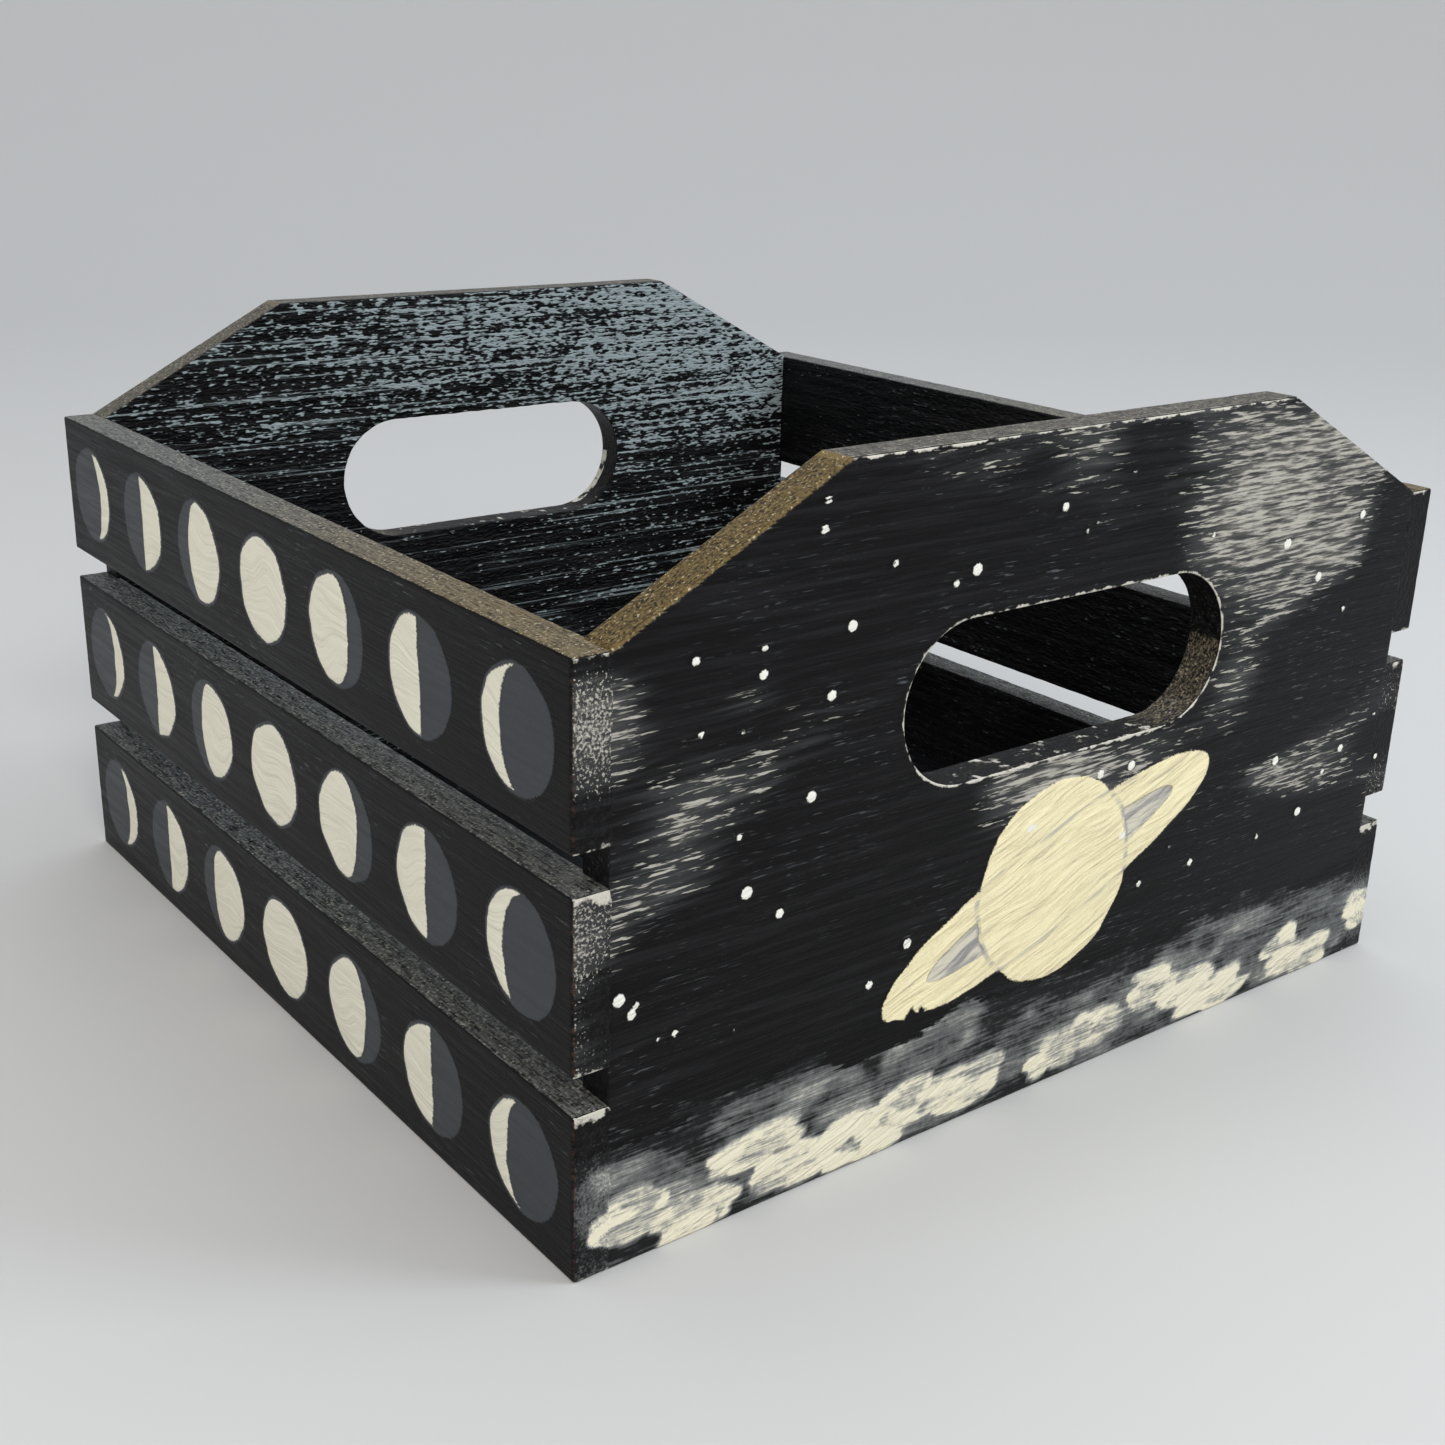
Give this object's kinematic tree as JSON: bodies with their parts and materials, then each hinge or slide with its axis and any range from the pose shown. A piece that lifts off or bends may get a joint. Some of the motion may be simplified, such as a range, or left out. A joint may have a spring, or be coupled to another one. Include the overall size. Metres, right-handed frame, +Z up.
{
  "type": "slatted wooden crate",
  "caption": "Square painted wooden crate with slatted sides and floor, and two peaked end boards that each have a stadium-shaped hand hole.",
  "frame": {"origin": "centre of the footprint, on the plane that the crate stands on", "axes": "+Z up; the side slats run along Y, and the end boards with the hand holes face -Y (front) and +Y (rear)"},
  "size_m": [0.264, 0.264, 0.16],
  "materials": {
    "end_board_paint": "satin black acrylic brushed over wood, with cream and grey painted sky motifs and dry-brushed grain",
    "slat_paint": "satin black acrylic brushed over wood, with cream painted discs and rubbed pewter-coloured edges",
    "floor_paint": "satin black acrylic brushed over wood",
    "brad_steel": "bright drawn wire, driven flush and painted over"
  },
  "bodies": {
    "root": {"front_end_board": "end_board_paint", "rear_end_board": "end_board_paint", "left_lower_slat": "slat_paint", "left_middle_slat": "slat_paint", "left_upper_slat": "slat_paint", "right_lower_slat": "slat_paint", "right_middle_slat": "slat_paint", "right_upper_slat": "slat_paint", "floor_slat_1": "floor_paint", "floor_slat_2": "floor_paint", "floor_slat_3": "floor_paint", "floor_slat_4": "floor_paint", "floor_slat_5": "floor_paint", "left_slat_brads": "brad_steel", "right_slat_brads": "brad_steel", "front_floor_brads": "brad_steel", "rear_floor_brads": "brad_steel"}
  },
  "joints": []
}
